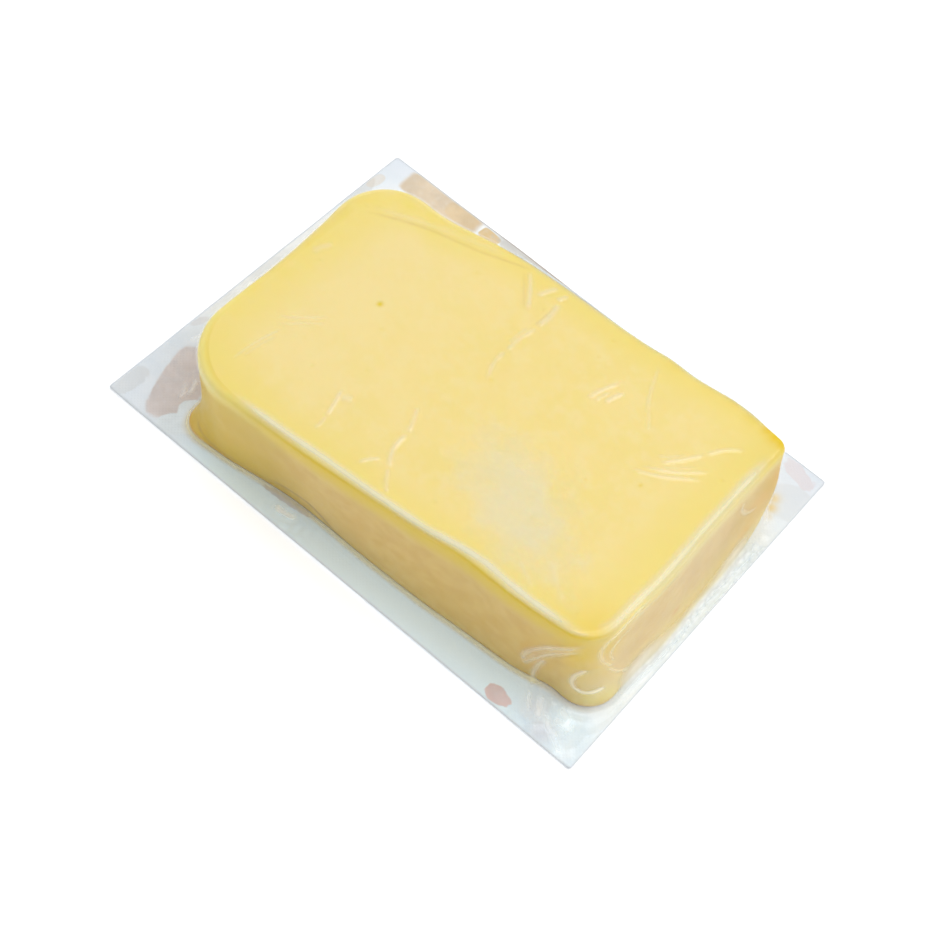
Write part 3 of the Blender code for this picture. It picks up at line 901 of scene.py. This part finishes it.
def paste_marks(points):
    """The height of the slab's waves, pinholes and pressed lines, and their painted shade."""
    height = 0.22 * wander(points, 24, 1) + 0.05 * wander(points, 5, 2)
    pinhole_shade, crease_shade = np.zeros((2, len(points)))
    randomly = np.random.default_rng(SEED)
    small = [(*randomly.uniform(*PINHOLE_AREA), *SMALL_PINHOLE) for _ in range(SMALL_PINHOLES)]
    for x, y, radius, depth, shade in PINHOLES + tuple(small):
        hollow = np.exp(-(((points[:, 0] - x) ** 2 + (points[:, 1] - y) ** 2) / radius ** 2))
        hollow *= points[:, 2] > SLAB_TOP - 4
        height = height - depth * hollow
        pinhole_shade = np.maximum(pinhole_shade, hollow * shade)
    lines = [(level_curve(places, SLAB_TOP - CROWN * 0.5), *rest) for places, *rest in DENTS]
    lines += [(curve_through(places), *rest) for places, *rest in SIDE_DENTS]
    lines.append((bridge_path(2, BACK_LINE_RUN, (BACK_LINE_INSET,)), *BACK_LINE))
    # Each line is darkened with painted shade
    for path, width, depth, shade in lines:
        near, distance, share = distance_to_path(points, path, FOLD_MARGIN * width + 1)
        line = np.exp(-(distance / width) ** 2) * rise(share, 0, 0.2)
        line *= rise(share, 1, 0.8)
        height[near] -= depth * line
        crease_shade[near] = np.maximum(crease_shade[near], shade * line)
    return height, pinhole_shade, crease_shade


def make_cheese():
    """The slab: a crowned top, rounded moulded end, knife-cut faces and a few pinholes."""
    grid = Grid(*SLAB_SPANS)
    nodes, loops, normals = slab_sheet(grid, 0, SLAB_LOW + FOOT_EDGE_RADIUS)
    wall_foot = loops[-1]
    for angle in np.linspace(0, np.pi / 2, FOOT_EDGE_STEPS + 1)[1:]:
        loop = wall_foot.copy()
        loop[:, :2] -= normals * FOOT_EDGE_RADIUS * (1 - np.cos(angle))
        loop[:, 2] -= FOOT_EDGE_RADIUS * np.sin(angle)
        loops.append(loop)
    points = np.vstack([nodes] + loops + [underside(grid, loops[-1])])
    faces = sheet_faces(grid, len(loops), closed=True)
    colours = slab_colours(grid, points, len(loops))
    outward = point_normals(points, faces)
    height, pinhole_shade, crease_shade = paste_marks(points)
    foot = rise(points[:, 2], SLAB_LOW + 2.6, SLAB_LOW + 0.6)
    # The amber along the front's foot is a painted shadow where the slab meets the base film
    amber = np.maximum(strongest_spot(points, AMBER_PLACES),
                       FOOT_SHADOW * foot * (points[:, 1] < FOOT_SHADOW_LIMIT))
    keep = rise(points[:, 2], SLAB_LOW, SLAB_LOW + 6)
    points = points + outward * (np.minimum(height, FILM_GAP * 0.5) * keep)[:, None]
    piece = make_piece("gouda_slab", points, faces, cheese_material(),
                       {**colours, "pinhole_shade": pinhole_shade, "amber": amber, "crease_shade": crease_shade})
    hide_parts("cheese")


def underside(grid, last_loop):
    """The grid's nodes spread over the area inside the last loop, at its height."""
    position = grid.side + grid.share
    rim_position = position[grid.rim()]
    flat = np.zeros((len(grid.reach), 2))
    for axis in (0, 1):
        around = np.interp(position % 4, rim_position, last_loop[:, axis], period=4)
        flat[:, axis] = SLAB_CENTRE[axis] + (around - SLAB_CENTRE[axis]) * grid.reach
    return np.column_stack((flat, np.full(len(flat), last_loop[0, 2])))


def web_height(points):
    """How far the base film rises from the floor: gentle waves, and none under the slab."""
    level = np.column_stack((points, np.zeros(len(points))))
    wave = 0.5 + 0.5 * wander(level, FLANGE_WAVE_SIZE, 5, 2)
    return WEB_LIFT + FLANGE_WAVE * np.clip(wave, 0, 1) * (1 - slab_nearness(points))


def slab_nearness(points):
    """1 under the slab, falling to 0 a few millimetres out from its foot."""
    corners = np.array([corner[:2] for corner in SLAB_CORNERS])
    inside = np.full(len(points), np.inf)
    for a, b in zip(corners, np.roll(corners, -1, axis=0)):
        along = (b - a) / np.linalg.norm(b - a)
        outward = np.array((along[1], -along[0]))
        inside = np.minimum(inside, -(points - a) @ outward)
    return rise(inside, -9, -2)


# Orange specks on the base film by the back right corner: middle, reach and strength
STAINS = ((75.8, 42, 1.3, 0.75), (76.8, 39.2, 1.3, 0.85), (78, 36.6, 1, 0.4))

# The painted contact shadow, a brownish line along the slab's foot: how far out it fades, and
# how strong it is
CONTACT_RUN = (1.5, 0.2)
CONTACT_SHADE = 0.4


def contact_shadow_strength(points):
    """The painted contact shadow's strength on the base film: full along the front side's foot."""
    sides = np.repeat(np.arange(4), 200)
    line, normals, _, wall = slab_rim(sides, np.tile(np.linspace(0, 1, 200), 4))
    line = line + normals * wall_offset(0, wall)[:, None]
    tree = kdtree.KDTree(len(line))
    for index, (x, y) in enumerate(line):
        tree.insert((x, y, 0), index)
    tree.balance()
    distances = np.array([tree.find((x, y, 0))[2] for x, y, _ in points])
    front = rise(points[:, 1], -38, -46)
    return rise(distances, *CONTACT_RUN) * front * CONTACT_SHADE


# Painted shade on the base film, darker and greyer: middle, reach and how much, and so towards
# the front left
FLANGE_SHADE_PLACES = (
    (86.4, -58.7, 9, 0.06), (83.4, 56.3, 15, 0.6), (-85.2, 59.7, 9, 0.57), (69, -52, 3.4, 0.7),
    (74, -55.8, 3.2, 0.95),
)
LEFT_FLANGE_SHADE = 0.48


def make_web():
    """The printed base film: a thin sheet with gentle waves along its flange."""
    grid = Grid(*WEB_SPANS)
    rim = grid.rim()
    edge, _ = outline(PACK_OUTLINE, grid.side, grid.share)
    centre = np.mean(PACK_CORNERS, axis=0)
    flat = centre + (edge - centre) * grid.reach[:, None]
    low = web_height(flat)
    nodes = np.column_stack((flat, low + WEB_THICKNESS))
    under = np.column_stack((flat, low))
    points = np.vstack((nodes, under[rim], under))
    faces = sheet_faces(grid, 1, closed=True)
    x, y, _ = points.T
    # Painted cool tone along the front, where the slab shades the flange
    front = rise(y, -40, -50) * rise(x, -72, -48)
    front *= 1 - 0.6 * rise(x, 76, 84)
    # Painted shade towards the front left and at the listed places
    flange_shade = LEFT_FLANGE_SHADE * rise(x, -44, -66) * rise(y, -14, -38)
    flange_shade = np.maximum(flange_shade, strongest_swelling(points, FLANGE_SHADE_PLACES))
    border = np.where(grid.reach > 1 - 1e-6, 1, 0)
    border = np.concatenate((border, np.ones(len(rim)), border))
    # Painted shadow along the middle of the base film's back edge
    back_rim_shadow = border * rise(y, 40, 52)
    back_rim_shadow *= rise(x, -70, -20) * rise(x, 70, 40)
    piece = make_piece("printed_base_film", points, faces, web_material(),
                       {"stain": strongest_swelling(points, STAINS), "rim": border,
                        "back_rim_shadow": back_rim_shadow, "front": front, "flange_shade": flange_shade,
                        "contact_shadow": contact_shadow_strength(points)})
    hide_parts("base_web")


# Loose film on the flange: middle, reach, how high its crumples stand, their size and milkiness
CRUMPLED_PLACES = (
    (75, -52, 8, 0.3, 6.5, 0.22), (-19, -54, 5, 0.3, 4, 0.15), (80.5, 20, 9, 0.4, 3.6, 0.16),
    (82, -8, 14, 0.25, 3, 0.12), (-80, -30, 18, 0.35, 8, 0.1),
)

# The film bridges the slab's top edge: side, share of the side, insets from the outermost line
# at even steps along it, width, height, milkiness and how white it is. The milk is partly the
# stretched film's whiteness and partly painted highlight; the front's thin second row and the
# rows along the left side are painted highlights.
BRIDGES = (
    (0, (0.12, 1), (2.3, 2.5, 2.6, 1.9, 1.6, 2.8, 2.2, 1.8), 0.95, 0.1, 0.4, 0.2),
    (0, (0.78, 1), (1.2,), 0.35, 0.08, 0.24, 0.9),
    (1, (0, 0.94), (1.8,), 1.2, 0.05, 0.3, 0.3),
    (1, (0, 0.5), (2.8,), 0.8, 0.06, 0.18, 0.5),
    (1, (0, 0.78), (0.5,), 0.35, 0.06, 0.1, 0.6),
    (2, (0.02, 0.72), (0.9,), 1, 0, 0.36, 0),
    (3, (0.04, 0.64), (1.2, 1.2, 1, 0.9, 0.75), 1.25, 0.03, 0.27, 1),
    (3, (0.5, 1.14), (0.8, 0.6, 0.4, 0.4, 0.5), 1, 0.03, 0.16, 1),
)

# Painted reflection: a whitish patch of milk on the top, where a soft light shows in the film:
# middle, half sizes and turn
REFLECTION_PATCH_CENTRE = (38, -27)
REFLECTION_PATCH_HALF_SIZES = (22, 12.5)
REFLECTION_PATCH_TURN = -24
REFLECTION_PATCH_RAGGEDNESS = 0.42
REFLECTION_PATCH_MILK = 0.21

# The film's milkiness elsewhere, the creamy share of it at the cut end's foot and on the sides'
# folds, and the waves that the film has everywhere
FILM_MILK = 0.01
FOOT_MILK = 0.42
CUT_END_MILK = 0.1
CUT_FOOT_MILK = 0.62
CUT_FOOT_CREAM = 0.85
CUT_END_MIDDLE = -2
CORNER_MILK = 0.07
SIDE_FOLD_CREAM = 0.42
FILM_WAVINESS = 0.1


def fully(amount):
    """1 wherever an amount is more than slight, falling to 0 where there is none of it."""
    return np.minimum(1, 6 * amount)


def film_haze(points, normals, apart):
    """The film's milkiness: faint all over, more on the cut end, and a painted reflection on top.
    """
    turn = math.radians(REFLECTION_PATCH_TURN)
    x, y = points[:, 0] - REFLECTION_PATCH_CENTRE[0], points[:, 1] - REFLECTION_PATCH_CENTRE[1]
    along = (x * math.cos(turn) + y * math.sin(turn)) / REFLECTION_PATCH_HALF_SIZES[0]
    across = (-x * math.sin(turn) + y * math.cos(turn)) / REFLECTION_PATCH_HALF_SIZES[1]
    ragged = np.hypot(along, across) + REFLECTION_PATCH_RAGGEDNESS * wander(points, 8, 11)
    # The patch on top is a painted reflection
    patch = rise(ragged, 1.45, 0.25) * (points[:, 2] > SLAB_TOP - 1.5)
    end = rise(normals[:, 0], 0.3, 0.9) * rise(points[:, 1], 32, 6)
    corner = CORNER_MILK * swelling(points, 78, -43, 5) * (points[:, 2] < 22)
    haze = FILM_MILK + REFLECTION_PATCH_MILK * patch + CUT_END_MILK * end + corner
    return haze + FOOT_MILK * front_foot(points, apart) + CUT_FOOT_MILK * cut_foot(points)


def front_foot(points, apart):
    """1 where the film leaves the foot of the long front side, and 0 elsewhere."""
    x, y, z = points.T
    low = rise(z, 3.2, 2) * rise(apart, 1.3, 0.3)
    low *= 1 - 0.7 * swelling(points, -22, -53, 7)
    return low * rise(y, -30, -42) * rise(x, 72, 62)


def cut_foot(points):
    """1 where the film bridges the foot of the cut end, and 0 elsewhere."""
    x, y, z = points.T
    top = 9.5 + 4.5 * rise(np.abs(y - CUT_END_MIDDLE), 4, 22)
    low = rise(z, top, top - 8.5) * rise(z, 0.5, 1.2)
    return low * rise(x, 74, 78) * rise(y, -38, -26) * rise(y, 30, 18)


def bridge_path(side, shares, insets, count=70):
    """A line along the film's rounded top edge, at distances in from its outermost line."""
    place = side + np.linspace(*shares, count)
    line, normals, radius, _ = slab_rim(np.floor(place).astype(int) % 4, place % 1)
    inset = np.interp(np.linspace(0, 1, count), np.linspace(0, 1, len(insets)), insets)
    flat = line + normals * (FILM_GAP - inset)[:, None]
    round_radius = radius + FILM_GAP
    drop = np.sqrt(round_radius ** 2 - np.maximum(round_radius - inset, 0) ** 2)
    return np.column_stack((flat, SLAB_LOW + SLAB_HEIGHT - radius + drop))


def film_sheet():
    """The film's points and squares, and how far past the slab's foot each point lies."""
    grid = Grid(*FILM_SPANS)
    rim = grid.rim()
    side, share = grid.side[rim], grid.share[rim]
    curve = FOOT_CURVE + swellings(slab_rim(side, share)[0], FOOT_TENTS)
    nodes, loops, normals = slab_sheet(grid, FILM_GAP, SLAB_LOW + curve)
    leaving = loops[-1]
    on_slab = len(loops)
    for angle in np.linspace(0, np.pi / 2, CURVE_STEPS + 1)[1:]:
        loop = leaving.copy()
        loop[:, :2] += normals * (curve * (1 - np.cos(angle)))[:, None]
        loop[:, 2] = SLAB_LOW + curve * (1 - np.sin(angle))
        loops.append(loop)
    edge, _ = outline(PACK_OUTLINE, side, share)
    flange_start = loops[-1]
    for step in range(1, FLANGE_STEPS + 1):
        loop = flange_start.copy()
        loop[:, :2] += (edge - flange_start[:, :2]) * step / FLANGE_STEPS
        resting = web_height(loop[:, :2]) + WEB_THICKNESS + FLANGE_GAP
        settle = rise(step / FLANGE_STEPS, 0, FLANGE_SETTLE)
        loop[:, 2] = flange_start[:, 2] + (resting - flange_start[:, 2]) * settle
        loops.append(loop)
    points = np.vstack([nodes] + loops)
    out = np.vstack([loop[:, :2] - leaving[:, :2] for loop in loops[on_slab:]])
    apart = np.zeros(len(points))
    apart[-len(out):] = np.linalg.norm(out, axis=1)
    return points, sheet_faces(grid, len(loops)), apart


def make_film():
    """The clear film: tight over the slab, folded at its corners, and sealed to the flange."""
    points, faces, apart = film_sheet()
    outward = point_normals(points, faces)
    skin = Skin(points, outward)
    for places, *rest in SIDE_FOLDS:
        skin.fold(curve_through(places), *rest, fade=0.15)
    fold_cream = SIDE_FOLD_CREAM * fully(skin.milk)
    for places, *rest in FLANGE_FOLDS:
        skin.fold(level_curve(places, WEB_TOP + FLANGE_GAP), *rest)
    unshaded = fully(skin.milk)
    for *places, width, height, milk in TOP_FOLDS:
        path = level_curve(places, SLAB_TOP + FILM_GAP - CROWN * 0.4)
        skin.fold(path, width, height, milk)
    for *place, width, height, milk, shine in BRIDGES:
        skin.fold(bridge_path(*place), width, height, milk, shine, fade=0.12)
    flange = rise(points[:, 2], SLAB_LOW + 2.6, SLAB_LOW + 0.6)
    for x, y, reach, height, size, milk in CRUMPLED_PLACES:
        share = swelling(points, x, y, reach) * flange
        here = np.flatnonzero(share > 0.02)
        edges = share[here] * crumple(points[here], size, x)
        skin.height[here] += height * edges
        skin.milk[here] = np.maximum(skin.milk[here], milk * edges)
    skin.height += FILM_WAVINESS * wander(points, 14, 21, 2)

    haze = film_haze(points, outward, apart)
    milk = skin.milk + haze
    shine = (skin.shine * skin.milk + cut_foot(points) * haze) / milk
    end_cream = CUT_FOOT_CREAM * rise(points[:, 2], 0.9, 3.2)
    end_cream *= 1 - 0.5 * rise(np.abs(points[:, 1] - CUT_END_MIDDLE), 6, 24)
    cream = np.maximum(fully(front_foot(points, apart)), fully(cut_foot(points)) * end_cream)
    moved = points + outward * skin.height[:, None]
    piece = make_piece("clear_formed_film", moved, faces, film_material(),
                       {"milk": milk, "shine": shine, "cream": np.maximum(cream, fold_cream),
                        "unshaded": np.maximum(unshaded, cream)})
    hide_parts("clear_film")


# Stage, lights and camera

FLOOR_HALF_SIZE = 3
FLOOR_DROP = 0.0002


def make_floor():
    mesh = bpy.data.meshes.new("floor")
    corners = [(x * FLOOR_HALF_SIZE, y * FLOOR_HALF_SIZE, -FLOOR_DROP)
               for x, y in ((-1, -1), (1, -1), (1, 1), (-1, 1))]
    mesh.from_pydata(corners, [], [(0, 1, 2, 3)])
    mesh.materials.append(floor_material())
    floor = bpy.data.objects.new("floor", mesh)
    bpy.context.scene.collection.objects.link(floor)


def make_softbox(name, direction, distance, size, power, mirrored=True):
    """A soft rectangular light that points at the slab, and shows in gloss if mirrored."""
    light = bpy.data.lights.new(name, "AREA")
    light.shape = "RECTANGLE"
    light.size, light.size_y = size
    light.energy = power
    lamp = bpy.data.objects.new(name, light)
    lamp.location = Vector(direction).normalized() * distance
    lamp.rotation_euler = Vector(direction).to_track_quat("Z", "Y").to_euler()
    lamp.visible_glossy = mirrored
    bpy.context.scene.collection.objects.link(lamp)


SKY_AT_HORIZON = 0.18
SKY_OVERHEAD = 0.62


def make_world():
    world = bpy.data.worlds.new("studio")
    world.use_nodes = True
    tree = world.node_tree
    background = tree.nodes["Background"]
    background.inputs["Color"].default_value = (0.88, 0.96, 1.03, 1)
    direction = add_node(tree, "ShaderNodeTexCoord", output="Generated")
    glow = add_node(tree, "ShaderNodeMapRange", {
        "Value": add_node(tree, "ShaderNodeSeparateXYZ", {0: direction}, "Z"),
        "From Min": 0, "From Max": 1,
        "To Min": SKY_AT_HORIZON, "To Max": SKY_OVERHEAD}, "Result")
    tree.links.new(glow, background.inputs["Strength"])
    bpy.context.scene.world = world
    bpy.context.scene.view_settings.view_transform = "Standard"


def make_camera():
    azimuth, elevation, roll = (
        math.radians(angle) for angle in (VIEW_AZIMUTH, VIEW_ELEVATION, VIEW_ROLL))
    back = Vector((math.sin(azimuth) * math.cos(elevation),
                   -math.cos(azimuth) * math.cos(elevation), math.sin(elevation)))
    level = Vector((math.cos(azimuth), math.sin(azimuth), 0))
    upright = back.cross(level)
    right = level * math.cos(roll) + upright * math.sin(roll)
    up = upright * math.cos(roll) - level * math.sin(roll)
    data = bpy.data.cameras.new("camera")
    data.sensor_width, data.lens = SENSOR, LENS
    camera = bpy.data.objects.new("camera", data)
    turn = Matrix((right, up, back)).transposed().to_4x4()
    place = (Vector(VIEW_TARGET) + back * VIEW_DISTANCE) * MM
    camera.matrix_world = Matrix.Translation(place) @ turn
    bpy.context.scene.collection.objects.link(camera)
    bpy.context.scene.camera = camera


make_camera()
make_world()
make_floor()
make_softbox("key", (0.41, 0.07, 0.91), 1.2, (1.2, 1.2), 10.1)
make_softbox("left_fill", (-0.76, 0.45, 0.47), 1.2, (1, 0.8), 3.2, mirrored=False)
make_softbox("left_rim", (-0.95, 0, 0.26), 1.2, (1, 0.5), 2.2, mirrored=False)
make_web()
make_cheese()
make_film()
